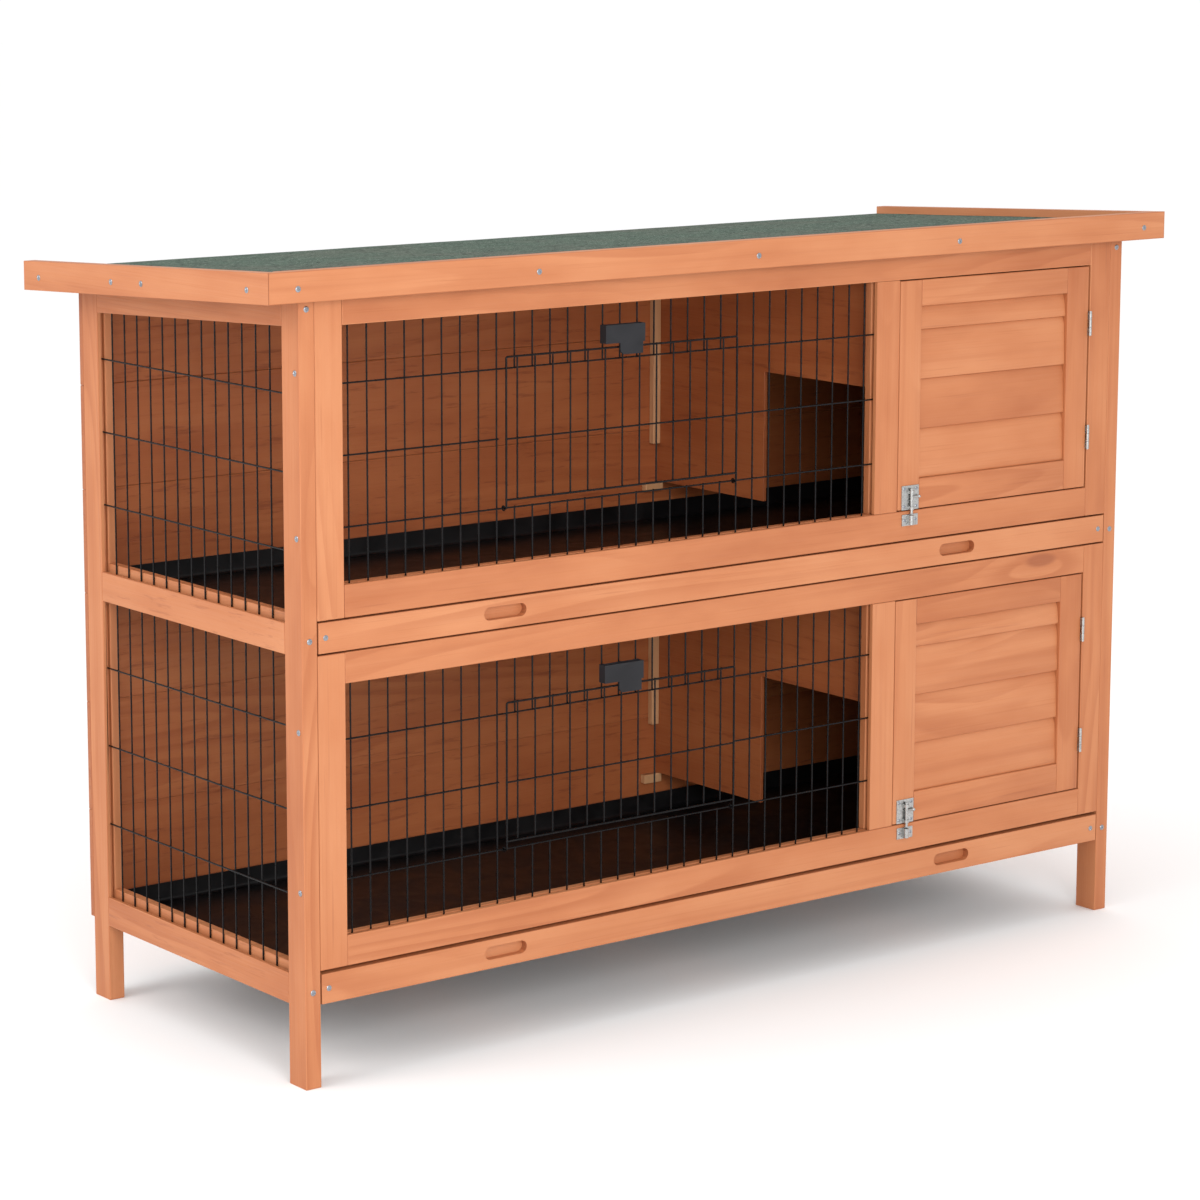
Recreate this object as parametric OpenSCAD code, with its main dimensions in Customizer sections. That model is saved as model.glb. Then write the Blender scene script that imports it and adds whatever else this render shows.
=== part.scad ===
// Two-storey rabbit hutch: a wooden frame on four legs, with wire panels round
// the runs, two wooden nest doors, two wire doors, two pull-out trays and a
// felted lean-to roof. Millimetres. +X runs right along the front, -Y is the
// front, +Z is up. The origin is on the ground under the middle of the roof.

/* [Body] */
// Width over the legs
body_w = 1248; // [1100:1:1400]
// Depth over the legs
body_d = 460; // [420:1:520]
// Height of the roof's front edge above the ground
roof_z = 910; // [900:1:960]
// Height from one storey to the next
storey_h = 394; // [385:1:400]
// Width of a leg along the front
leg_w = 20; // [18:1:24]
// Depth of a leg
leg_d = 34; // [30:1:40]

/* [Front frames] */
// Thickness of the front frames and side rails
frame_t = 20; // [18:1:24]
// Height of the lower opening's bottom edge
open_z = 168; // [160:1:175]
// Height of each front opening
open_h = 284; // [275:1:286]
// Width of the frame's left stile
left_stile_w = 36; // [30:1:45]
// Width of the wire opening of the run
run_w = 775; // [760:1:790]
// Width of the stile between the run and the nest door
mid_stile_w = 37; // [30:1:50]
// Width of the nest door's opening
door_open_w = 325; // [300:1:330]

/* [Wire] */
// Diameter of the panel wires
wire_d = 2; // [1.6:0.1:2.4]
// Diameter of the wire round each wire door
door_wire_d = 2.4; // [2:0.1:2.6]
// Spacing of the front panels' upright wires
wire_pitch = 25; // [22:0.5:26]
// Number of upright wires in a front panel
front_wires = 31; // [27:1:31]
// Spacing of the side panels' upright wires
side_pitch = 28; // [22:0.5:28]
// Number of upright wires in a side panel
side_wires = 14; // [12:1:14]
// Height of the first cross wire above the opening's bottom edge
cross_z = 62; // [55:1:65]
// Spacing of the cross wires
cross_pitch = 79; // [70:1:80]
// First upright wire beside the wire door, counted from the left
door_first = 8; // [6:1:10]
// Number of wire spacings across the wire door
door_spaces = 14; // [10:1:15]

/* [Trays] */
// Height of the lower tray front's bottom edge
tray_z = 95; // [90:1:100]
// Height of a tray front
tray_h = 34; // [30:1:35]
// Height of the pan's upright edge
pan_h = 25; // [18:1:26]
// Width of a finger recess
grip_w = 59; // [50:1:70]
// Height of a finger recess
grip_h = 15; // [12:1:18]

/* [Nest] */
// Thickness of the partition board
partition_t = 5; // [4:0.5:9]
// Distance from the left legs' outer faces to the partition
partition_x = 861; // [855:1:866]
// Depth of the doorway in the partition, from the front frame
doorway_d = 222; // [150:1:260]
// Height of the doorway above the partition's bottom edge
doorway_h = 166; // [140:1:200]

/* [Roof] */
// Overhang of the roof past the legs at each side
side_overhang = 52; // [30:1:60]
// Overhang past the front legs
front_overhang = 23; // [20:1:40]
// Overhang past the back legs
back_overhang = 43; // [35:1:60]
// Fall of the roof from front to back
roof_fall = 26; // [20:1:30]
// Height of the fascia boards
fascia_h = 34; // [30:1:40]
// Thickness of the fascia boards
fascia_t = 15; // [12:1:18]

/* [Hidden] */
$fn = 32;
tiny = 0.01;
gap = 0.3;                      // clearance between boards that only meet
weld = 0.02;                    // space between crossing wires
screw_head_r = 3.4;
screw_head_t = 1;
screw_r = 1.6;
screw_len = 14;
roof_d = front_overhang + body_d + back_overhang;
x_left = -body_w / 2;
y_front = -(roof_d - screw_head_t) / 2 + front_overhang;
slope = roof_fall / roof_d;
felt_drop = 9.5;                // felt below the fascia tops
felt_t = 2;
roof_board_t = 12;
roof_drop = felt_drop + felt_t + roof_board_t;
levels = [0, 1];

// front frame
rail_gaps = [4.2, 2.2];         // space above each tray front
rail_gap_below = 2.2;           // space under the upper tray front
run_x0 = leg_w + left_stile_w;
run_x1 = run_x0 + run_w;
door_x0 = run_x1 + mid_stile_w;
door_x1 = door_x0 + door_open_w;
groove_lip = 5.8;               // wood in front of the wire groove
groove_w = 4.4;
groove_depth = 6;
wire_in = 5;                    // how far a wire reaches into its groove
cross_y = groove_lip + 0.2 + wire_d / 2;
upright_y = cross_y + wire_d + weld;
wire_x0 = run_x0 + (run_w - wire_pitch * (front_wires - 1)) / 2;
door_last = door_first + door_spaces;

// sides
side_rail_h = 35;
side_rail_z = tray_z - 3;
side_top_h = 38;                // the sloping top rail
side_y0 = leg_d;
side_y1 = body_d - leg_d;
side_wire_y0 = side_y0 + 8;
side_cross = [[89, 184, 278], [79, 165, 251]];  // cross wires above each storey's rail
side_strip_h = 9;               // inner strip above the outer lip, behind the wires

// back
back_board_t = 8;
back_rail_t = 9;
back_rail_h = 34;
back_rails_z = [76, 476, 812];
back_rail_in = 10;              // from the panel's ends to the rails' ends
board_count = 3;                // boards in each panel of the back and right side

// trays
tray_t = 18;
tray_side_gap = 1.5;
pan_t = 1.6;
pan_z = 5.5;                    // pan's underside above the tray front's bottom edge
pan_y1 = body_d - 10;
bar_w = 38;
bar_h = 4.8;
bar_xs = [300, 624, 948];
runner_w = 14;
runner_h = 8;
grip_depth = 9;
grip_xs = [274, 970];

// wooden doors
door_gap = 1.4;
door_stiles = [35, 37];
door_rails = [37, 32];          // bottom, top
lap_boards = 4;
lap_t = 9;
lap_top_h = 29;                 // the narrow board under the top rail
hinge_h = 30;
hinge_leaf_w = 14;
hinge_leaf_t = 0.9;
knuckle_r = 2.1;
hinge_pin_r = 1.2;
hinge_bore_r = 1.25;
hinge_y = -2.4;                 // knuckles stand clear in front of the wood
hinge_x = door_x1 - door_gap;
hinge_zs = [65, 210];           // hinge centres above the opening's bottom edge
knuckle_gap = 0.25;

// latches
latch_x = door_x0 + 21;
latch_plate = [28, 30];
latch_t = 1.2;
bolt_r = 2;
bolt_y = -3.6;
bolt_lift = 3.4;                // bolt's tip above the opening's bottom edge, undone
bolt_len = 31;
strap_h = 4;
strap_wall = 1;
keeper = [26, 14];
keeper_z = -4.2;                // keeper's top below the opening's bottom edge

// wire doors
wd_x0 = wire_x0 + door_first * wire_pitch + 8;
wd_x1 = wire_x0 + door_last * wire_pitch - 6;
wd_y = 1.4;                     // the rectangle's and cross bar's plane
wd_upright_y = wd_y + door_wire_d / 2 + wire_d / 2 + weld;
wd_bottom = cross_z + 10;
wd_top = cross_z + 2 * cross_pitch + 13.5;
hook_r = 2.3;                   // hook's centre line round the cross wire
hook_wire_d = 2;

// clips
clip_x0 = wire_x0 + (door_first + 6) * wire_pitch - 4;
clip_w = 57;
clip_h = 21;
clip_z = wd_top + 5;
clip_front = -2.8;
clip_plate_t = 2.4;
lip_w = 33;
lip_z = wd_top - 8.5;

// partitions
partition_z = 56;               // bottom edge above the tray front's bottom edge, past the rails
batten = [12, 9];
batten_h = 262;
cleat = [24, 9, 12];            // past the partition, depth, height

wood = [0.89, 0.60, 0.43];
wood_dark = [0.72, 0.42, 0.27];
pan_colour = [0.05, 0.05, 0.06];
wire_colour = [0.09, 0.09, 0.12];
felt_colour = [0.24, 0.36, 0.30];
zinc = [0.72, 0.72, 0.72];

// ---------- shared shapes ----------

// Moves from the left front leg's outer corner on the ground to the origin.
module in_frame() {
    translate([x_left, y_front, 0]) children();
}

// A box given by two opposite corners.
module block(low, high) {
    translate(low) cube(high - low);
}

// Height of the roof board's underside at a distance behind the front legs' faces.
function under_roof(y) = roof_z - roof_drop - slope * (y + front_overhang);

// A board between two depths whose top and bottom follow the roof's slope.
module sloped_board(x0, x1, y0, y1, top_drop, height) {
    z0 = roof_z - slope * (y0 + front_overhang) - top_drop;
    z1 = roof_z - slope * (y1 + front_overhang) - top_drop;
    translate([x0, 0, 0]) rotate([90, 0, 90]) linear_extrude(x1 - x0)
        polygon([[y0, z0 - height], [y1, z1 - height], [y1, z1], [y0, z0]]);
}

// A leg that is cut to the roof's slope at its top.
module leg(x, y) {
    translate([x, 0, 0]) rotate([90, 0, 90]) linear_extrude(leg_w)
        polygon([[y, 0], [y + leg_d, 0], [y + leg_d, under_roof(y + leg_d)], [y, under_roof(y)]]);
}

module wire_x(x0, x1, y, z, d = wire_d) {
    translate([x0, y, z]) rotate([0, 90, 0]) cylinder(d = d, h = x1 - x0, $fn = 16);
}

module wire_y(x, y0, y1, z, d = wire_d) {
    translate([x, y0, z]) rotate([-90, 0, 0]) cylinder(d = d, h = y1 - y0, $fn = 16);
}

module wire_z(x, y, z0, z1, d = wire_d) {
    translate([x, y, z0]) cylinder(d = d, h = z1 - z0, $fn = 16);
}

// ---------- legs and side frames ----------

module front_leg(x, groove_x) {
    color(wood) in_frame() difference() {
        leg(x, 0);
        for (k = levels) side_groove_y(groove_x, side_y0 - groove_depth, side_y0 + tiny, k);
    }
}

module back_leg(x, groove_x) {
    color(wood) in_frame() difference() {
        leg(x, body_d - leg_d);
        for (k = levels) side_groove_y(groove_x, side_y1 - tiny, side_y1 + groove_depth, k);
    }
}

function side_z0(k) = side_rail_z + side_rail_h + k * storey_h;
function side_z1(k) = k == 0 ? side_rail_z + storey_h : under_roof(0) - side_top_h;

// The upright groove of a leg, over one storey's panel.
module side_groove_y(x, y0, y1, k) {
    block([x, y0, side_z0(k) - groove_depth], [x + groove_w, y1, side_z1(k) + groove_depth]);
}

left_groove_x = groove_lip - 0.8;
right_groove_x = body_w - left_groove_x - groove_w;

module front_left_post() { front_leg(0, left_groove_x); }
module front_right_post() { front_leg(body_w - leg_w, right_groove_x); }
module back_left_post() { back_leg(0, left_groove_x); }
module back_right_post() { back_leg(body_w - leg_w, right_groove_x); }

// A level side rail, grooved on top and, for the middle one, underneath. Its inner
// part stands higher than its outer lip.
module side_rail(x, groove_x, k) {
    z0 = side_rail_z + k * storey_h;
    z1 = z0 + side_rail_h;
    inner = groove_x < body_w / 2 ? [groove_x + groove_w, x + frame_t] : [x, groove_x];
    color(wood) in_frame() difference() {
        union() {
            block([x, side_y0 + tiny, z0], [x + frame_t, side_y1 - tiny, z1]);
            block([inner[0], side_y0 + tiny, z1 - 1], [inner[1], side_y1 - tiny, z1 + side_strip_h]);
        }
        block([groove_x, side_y0 - 1, z1 - groove_depth], [groove_x + groove_w, side_y1 + 1, z1 + 1]);
        if (k == 1) block([groove_x, side_y0 - 1, z0 - 1],
                          [groove_x + groove_w, side_y1 + 1, z0 + groove_depth]);
    }
}

// The rail under the roof at one side; its groove follows the slope too.
module side_top_rail(x, groove_x) {
    color(wood) in_frame() difference() {
        sloped_board(x, x + frame_t, side_y0 + tiny, side_y1 - tiny, roof_drop, side_top_h);
        sloped_board(groove_x, groove_x + groove_w, side_y0 - 1, side_y1 + 1,
                     roof_drop + side_top_h - groove_depth, groove_depth + 1);
    }
}

module left_top_rail() { side_top_rail(0, left_groove_x); }
module left_mid_rail() { side_rail(0, left_groove_x, 1); }
module left_bottom_rail() { side_rail(0, left_groove_x, 0); }
module right_top_rail() { side_top_rail(body_w - frame_t, right_groove_x); }
module right_mid_rail() { side_rail(body_w - frame_t, right_groove_x, 1); }
module right_bottom_rail() { side_rail(body_w - frame_t, right_groove_x, 0); }

// Top end of a side wire, which stops short of the sloping groove's roof.
function side_wire_top(k, y) = k == 0 ? side_z1(0) + wire_in
    : under_roof(y) - side_top_h + wire_in - 0.4;

module side_mesh(k) {
    cross_x = left_groove_x + 0.2 + wire_d / 2;
    upright_x = cross_x + wire_d + weld;
    color(wire_colour) in_frame() {
        for (i = [0 : side_wires - 1]) {
            y = side_wire_y0 + i * side_pitch;
            wire_z(upright_x, y, side_z0(k) - wire_in, side_wire_top(k, y));
        }
        for (z = side_cross[k])
            wire_y(cross_x, side_y0 - wire_in, side_y1 + wire_in, side_z0(k) + z);
    }
}

module left_mesh_upper() { side_mesh(1); }
module left_mesh_lower() { side_mesh(0); }

// Boards set in the right side's grooves, one above another.
module right_boards(k) {
    x0 = right_groove_x + 0.2;
    x1 = right_groove_x + groove_w - 0.2;
    z0 = side_z0(k) - wire_in;
    y0 = side_y0 - wire_in;
    y1 = side_y1 + wire_in;
    top0 = side_wire_top(k, y0);
    top1 = side_wire_top(k, y1);
    step = (min(top0, top1) - z0) / board_count;
    color(wood) in_frame() for (i = [0 : board_count - 1]) {
        last = i == board_count - 1;
        a = z0 + i * step;
        translate([x0, 0, 0]) rotate([90, 0, 90]) linear_extrude(x1 - x0)
            polygon([[y0, a], [y1, a],
                     [y1, last ? top1 : a + step - gap], [y0, last ? top0 : a + step - gap]]);
    }
}

module right_boards_upper() { right_boards(1); }
module right_boards_lower() { right_boards(0); }

// ---------- back ----------

module back_boards(z0, z1) {
    step = (z1 - z0) / board_count;
    color(wood) in_frame() for (i = [0 : board_count - 1])
        block([0, body_d + gap / 3, z0 + i * step],
              [body_w, body_d + back_board_t, z0 + (i + 1) * step - gap]);
}

module back_boards_lower() { back_boards(side_rail_z + 4, side_rail_z + 4 + storey_h); }
module back_boards_upper() {
    back_boards(side_rail_z + 4 + storey_h, under_roof(body_d + back_board_t) - 0.5);
}

module back_rails() {
    y0 = body_d + back_board_t + gap / 3;
    color(wood) in_frame() for (z = back_rails_z)
        block([back_rail_in, y0, z], [body_w - back_rail_in, y0 + back_rail_t, z + back_rail_h]);
}

// ---------- front frames ----------

function frame_bottom(k) = tray_z + tray_h + rail_gaps[k] + k * storey_h;
function frame_top(k) = k == 0 ? tray_z + storey_h - rail_gap_below : under_roof(frame_t) - 0.2;

// A rail between the left and right stiles, with the mesh's groove in its inner edge.
module front_rail(z0, z1, groove_z0) {
    color(wood) in_frame() difference() {
        block([run_x0 + gap / 3, 0, z0], [door_x1, frame_t, z1]);
        block([run_x0 - 1, groove_lip, groove_z0],
              [run_x1 + groove_depth, groove_lip + groove_w, groove_z0 + groove_depth + 1]);
    }
}

module front_top_rail(k) {
    z = open_z + open_h + k * storey_h;
    front_rail(z, frame_top(k), z - 1);
}

module front_bottom_rail(k) {
    z = open_z + k * storey_h;
    front_rail(frame_bottom(k), z, z - groove_depth);
}

// The uprights of a front frame: the outer two run its full height, with the rails
// between them, and the one beside the door stands between the rails.
module front_stiles(k) {
    z0 = open_z + k * storey_h + gap / 3;
    z1 = open_z + open_h + k * storey_h - gap / 3;
    color(wood) in_frame() {
        difference() {
            block([leg_w + gap / 3, 0, frame_bottom(k)], [run_x0, frame_t, frame_top(k)]);
            block([run_x0 - groove_depth, groove_lip, z0 - 1],
                  [run_x0 + 1, groove_lip + groove_w, z1 + 1]);
        }
        difference() {
            block([run_x1, 0, z0], [door_x0, frame_t, z1]);
            block([run_x1 - 1, groove_lip, z0 - 1],
                  [run_x1 + groove_depth, groove_lip + groove_w, z1 + 1]);
        }
        block([door_x1 + gap / 3, 0, frame_bottom(k)],
              [body_w - leg_w - gap / 3, frame_t, frame_top(k)]);
    }
}

module lower_front_top_rail() { front_top_rail(0); }
module lower_front_bottom_rail() { front_bottom_rail(0); }
module lower_front_stiles() { front_stiles(0); }
module upper_front_top_rail() { front_top_rail(1); }
module upper_front_bottom_rail() { front_bottom_rail(1); }
module upper_front_stiles() { front_stiles(1); }

// A front wire panel. The wires between the wire door's edge wires stop at the
// first and third cross wires, and the middle cross wire stops at the edge wires.
module front_mesh(k) {
    z0 = open_z + k * storey_h;
    z1 = z0 + open_h;
    crosses = [for (i = [0 : 2]) z0 + cross_z + i * cross_pitch];
    edge0 = wire_x0 + door_first * wire_pitch;
    edge1 = wire_x0 + door_last * wire_pitch;
    color(wire_colour) in_frame() {
        for (i = [0 : front_wires - 1]) {
            x = wire_x0 + i * wire_pitch;
            if (i > door_first && i < door_last) {
                wire_z(x, upright_y, z0 - wire_in, crosses[0] + 1);
                wire_z(x, upright_y, crosses[2] - 1, z1 + wire_in);
            } else {
                wire_z(x, upright_y, z0 - wire_in, z1 + wire_in);
            }
        }
        for (z = [crosses[0], crosses[2]])
            wire_x(run_x0 - wire_in, run_x1 + wire_in, cross_y, z);
        wire_x(run_x0 - wire_in, edge0 + 1, cross_y, crosses[1]);
        wire_x(edge1 - 1, run_x1 + wire_in, cross_y, crosses[1]);
    }
}

module lower_front_mesh() { front_mesh(0); }
module upper_front_mesh() { front_mesh(1); }

// ---------- partitions ----------

function partition_top(k, y) = k == 0 ? side_rail_z + storey_h - 2 : under_roof(y) - 1;

// The board between run and nest, with its front lower corner cut away as a doorway.
module partition(k) {
    z0 = tray_z + partition_z + k * storey_h;
    y0 = frame_t + gap;
    y1 = body_d - gap;
    color(wood_dark) in_frame() translate([partition_x, 0, 0]) rotate([90, 0, 90])
        linear_extrude(partition_t)
        polygon([[y0 + doorway_d, z0], [y1, z0], [y1, partition_top(k, y1)],
                 [y0, partition_top(k, y0)], [y0, z0 + doorway_h],
                 [y0 + doorway_d, z0 + doorway_h]]);
}

module lower_partition() { partition(0); }
module upper_partition() { partition(1); }

// Behind each partition, an upright batten against the back wall, and a cleat that
// the partition's rear corner rests on.
module partition_battens() {
    x1 = partition_x - gap / 3;
    y1 = body_d - gap / 3;
    color(wood) in_frame() for (k = levels) {
        top = partition_top(k, body_d) - 4;
        z0 = tray_z + partition_z + k * storey_h - gap / 3;
        block([x1 - batten[0], y1 - batten[1], top - batten_h], [x1, y1, top]);
        block([partition_x - cleat[0], y1 - cleat[1], z0 - cleat[2]], [partition_x + partition_t, y1, z0]);
    }
}

// ---------- roof ----------

module roof_board() {
    color(wood) in_frame()
        sloped_board(-side_overhang + fascia_t + gap / 3, body_w + side_overhang - fascia_t - gap / 3,
                     -front_overhang + fascia_t + gap / 3, body_d + back_overhang,
                     felt_drop + felt_t, roof_board_t - gap / 3);
}

module roof_felt() {
    color(felt_colour) in_frame()
        sloped_board(-side_overhang + fascia_t + gap / 3, body_w + side_overhang - fascia_t - gap / 3,
                     -front_overhang + fascia_t + gap / 3, body_d + back_overhang,
                     felt_drop, felt_t - gap / 3);
}

// The front fascia's outline from above, mitred at both ends; grow widens it a little.
module front_fascia_plan(grow = 0) {
    y0 = -front_overhang;
    x0 = -side_overhang - grow;
    x1 = body_w + side_overhang + grow;
    polygon([[x0, y0], [x1, y0], [x1 - fascia_t, y0 + fascia_t], [x0 + fascia_t, y0 + fascia_t]]);
}

module roof_front_fascia() {
    color(wood) in_frame() translate([0, 0, roof_z - fascia_h]) linear_extrude(fascia_h)
        front_fascia_plan();
}

module side_fascia(x) {
    color(wood) in_frame() difference() {
        sloped_board(x, x + fascia_t, -front_overhang, body_d + back_overhang, 0, fascia_h);
        translate([0, -tiny, roof_z - 2 * fascia_h]) linear_extrude(3 * fascia_h)
            front_fascia_plan(gap);
    }
}

module roof_left_fascia() { side_fascia(-side_overhang); }
module roof_right_fascia() { side_fascia(body_w + side_overhang - fascia_t); }

// ---------- trays ----------

module tray_runners() {
    color(wood) in_frame() for (k = levels, x = [frame_t + gap, body_w - frame_t - gap - runner_w]) {
        top = tray_z + k * storey_h + pan_z - gap;
        block([x, frame_t + 4, top - runner_h], [x + runner_w, body_d - gap, top]);
    }
}

// A tray's front board, with two round-ended finger recesses.
module tray_front(k) {
    z0 = tray_z + k * storey_h;
    zc = z0 + tray_h / 2 + 1;
    color(wood) in_frame() difference() {
        block([leg_w + tray_side_gap, 0, z0], [body_w - leg_w - tray_side_gap, tray_t, z0 + tray_h]);
        for (x = grip_xs) {
            for (side = [-1, 1])
                translate([x + side * (grip_w - grip_h) / 2, -1, zc]) rotate([-90, 0, 0])
                    cylinder(d = grip_h, h = grip_depth + 1);
            block([x - (grip_w - grip_h) / 2, -1, zc - grip_h / 2],
                  [x + (grip_w - grip_h) / 2, grip_depth, zc + grip_h / 2]);
        }
    }
}

module tray_pan(k) {
    z0 = tray_z + pan_z + k * storey_h;
    x0 = frame_t + 4;
    x1 = body_w - frame_t - 4;
    y0 = tray_t + gap / 3;
    color(pan_colour) in_frame() difference() {
        block([x0, y0, z0], [x1, pan_y1, z0 + pan_h]);
        block([x0 + pan_t, y0 + pan_t, z0 + pan_t], [x1 - pan_t, pan_y1 - pan_t, z0 + pan_h + 1]);
    }
}

// Slats under the pan, behind the tray front.
module tray_bars(k) {
    z1 = tray_z + pan_z + k * storey_h - gap / 3;
    color(wood) in_frame() for (x = bar_xs)
        block([x - bar_w / 2, tray_t + gap / 3, z1 - bar_h], [x + bar_w / 2, pan_y1 - 6, z1]);
}

module lower_tray_front() { tray_front(0); }
module upper_tray_front() { tray_front(1); }
module lower_tray_pan() { tray_pan(0); }
module upper_tray_pan() { tray_pan(1); }
module lower_tray_bars() { tray_bars(0); }
module upper_tray_bars() { tray_bars(1); }

// ---------- wooden doors ----------

function door_z0(k) = open_z + door_gap + k * storey_h;
function door_z1(k) = open_z + open_h - door_gap + k * storey_h;

module door_frame(k) {
    x0 = door_x0 + door_gap;
    x1 = door_x1 - 2 * door_gap;
    z0 = door_z0(k);
    z1 = door_z1(k);
    color(wood) in_frame() {
        block([x0, 0, z0], [x0 + door_stiles[0], frame_t - 1, z1]);
        block([x1 - door_stiles[1], 0, z0], [x1, frame_t - 1, z1]);
        block([x0 + door_stiles[0] + gap / 3, 0, z0],
              [x1 - door_stiles[1] - gap / 3, frame_t - 1, z0 + door_rails[0]]);
        block([x0 + door_stiles[0] + gap / 3, 0, z1 - door_rails[1]],
              [x1 - door_stiles[1] - gap / 3, frame_t - 1, z1]);
    }
}

// Lap boards: each one's face leans in towards its top edge, under the one above.
module door_boards(k) {
    x0 = door_x0 + door_gap + door_stiles[0] + gap / 3;
    x1 = door_x1 - 2 * door_gap - door_stiles[1] - gap / 3;
    z0 = door_z0(k) + door_rails[0] + gap / 3;
    z1 = door_z1(k) - door_rails[1] - gap / 3;
    step = (z1 - z0 - lap_top_h) / (lap_boards - 1);
    color(wood) in_frame() for (i = [0 : lap_boards - 1]) {
        a = z0 + i * step;
        b = i == lap_boards - 1 ? z1 : a + step - gap;
        translate([x0, 0, 0]) rotate([90, 0, 90]) linear_extrude(x1 - x0)
            polygon([[4, a], [4 + lap_t, a], [4 + lap_t, b], [8, b], [5, b - 9], [3, a + 3]]);
    }
}

module lower_door_frame() { door_frame(0); }
module upper_door_frame() { door_frame(1); }
module lower_door_boards() { door_boards(0); }
module upper_door_boards() { door_boards(1); }

// ---------- hinges ----------

function hinge_centre(k, i) = open_z + k * storey_h + hinge_zs[i];

// One leaf of a butt hinge, centred on its pin; side is -1 for the door's leaf and
// 1 for the frame's. knuckles holds pairs of heights.
module hinge_leaf(side, knuckles) {
    leaf_x0 = side > 0 ? 0.2 : -0.2 - hinge_leaf_t;
    difference() {
        union() {
            block([leaf_x0, knuckle_r + 0.5, -hinge_h / 2],
                  [leaf_x0 + hinge_leaf_t, hinge_leaf_w, hinge_h / 2]);
            for (span = knuckles) {
                translate([0, 0, span[0]]) cylinder(r = knuckle_r, h = span[1] - span[0]);
                block([leaf_x0, 0, span[0]], [leaf_x0 + hinge_leaf_t, knuckle_r + 1, span[1]]);
            }
        }
        translate([0, 0, -hinge_h]) cylinder(r = hinge_bore_r, h = 2 * hinge_h);
    }
}

module at_hinge(k, i) {
    in_frame() translate([hinge_x, hinge_y, hinge_centre(k, i)]) children();
}

knuckle_h = hinge_h / 3;

module hinge_frame_leaves() {
    color(zinc) for (k = levels, i = [0, 1]) at_hinge(k, i)
        hinge_leaf(1, [[-hinge_h / 2, -knuckle_h / 2 - knuckle_gap],
                       [knuckle_h / 2 + knuckle_gap, hinge_h / 2]]);
}

module hinge_door_leaves(k) {
    color(zinc) for (i = [0, 1]) at_hinge(k, i)
        hinge_leaf(-1, [[-knuckle_h / 2, knuckle_h / 2]]);
}

module lower_hinge_door_leaves() { hinge_door_leaves(0); }
module upper_hinge_door_leaves() { hinge_door_leaves(1); }

module hinge_pins() {
    color(zinc) for (k = levels, i = [0, 1]) at_hinge(k, i) {
        translate([0, 0, -hinge_h / 2 - 0.5]) cylinder(r = hinge_pin_r, h = hinge_h + 0.5);
        translate([0, 0, hinge_h / 2 + 0.05]) cylinder(r = hinge_pin_r + 0.7, h = 0.9);
        translate([0, 0, hinge_h / 2 - 0.5]) cylinder(r = hinge_pin_r, h = 1);
    }
}

// ---------- bolt latches ----------

// A half-round strap over the bolt, open towards the wood.
module bolt_strap(z0, h) {
    inner = bolt_r + 0.3;
    outer = inner + strap_wall;
    difference() {
        union() {
            translate([0, bolt_y, z0]) cylinder(r = outer, h = h);
            block([-outer, bolt_y, z0], [outer, -latch_t / 2, z0 + h]);
        }
        translate([0, bolt_y, z0 - 1]) cylinder(r = inner, h = h + 2);
        block([-inner, bolt_y, z0 - 1], [inner, -latch_t, z0 + h + 1]);
    }
}

module latch_plate(k) {
    z0 = door_z0(k);
    color(zinc) in_frame() translate([latch_x, 0, 0]) {
        block([-latch_plate[0] / 2, -latch_t, z0], [latch_plate[0] / 2, -0.02, z0 + latch_plate[1]]);
        bolt_strap(z0 + 0.5, strap_h);
        bolt_strap(z0 + latch_plate[1] - strap_h - 6, strap_h);
    }
}

// The bolt at rest is drawn back, with its tip just above the keeper.
module latch_bolt(k) {
    z0 = open_z + k * storey_h - bolt_lift + 0.4;
    knob_z = z0 + 20.2;
    color(zinc) in_frame() translate([latch_x, bolt_y, 0]) {
        translate([0, 0, z0]) cylinder(r = bolt_r, h = bolt_len);
        translate([0, 0, knob_z]) rotate([0, 90, 0]) cylinder(r = 1.5, h = 12);
        translate([12, 0, knob_z]) sphere(r = 2.2);
    }
}

module lower_latch_plate() { latch_plate(0); }
module upper_latch_plate() { latch_plate(1); }
module lower_latch_bolt() { latch_bolt(0); }
module upper_latch_bolt() { latch_bolt(1); }

module latch_keepers() {
    color(zinc) for (k = levels) in_frame() translate([latch_x, 0, open_z + k * storey_h + keeper_z]) {
        block([-keeper[0] / 2, -latch_t, -keeper[1]], [keeper[0] / 2, -0.02, 0]);
        bolt_strap(-keeper[1] + 1, keeper[1] - 2);
    }
}

// ---------- wire doors ----------

// A side wire of the wire door: down past the bottom bar, then in to a ring that
// turns round the panel's lowest cross wire.
module wire_door_side(x, z_hinge, z_top) {
    ring_y = cross_y - hook_r;
    wire_z(x, wd_y, z_hinge, z_top, door_wire_d);
    translate([x, wd_y, z_hinge]) sphere(d = door_wire_d);
    wire_y(x, wd_y, ring_y - hook_wire_d / 2 - weld, z_hinge, hook_wire_d);
    translate([x, cross_y, z_hinge]) rotate([0, 90, 0])
        rotate_extrude($fn = 32) translate([hook_r, 0]) circle(d = hook_wire_d, $fn = 16);
}

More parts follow.
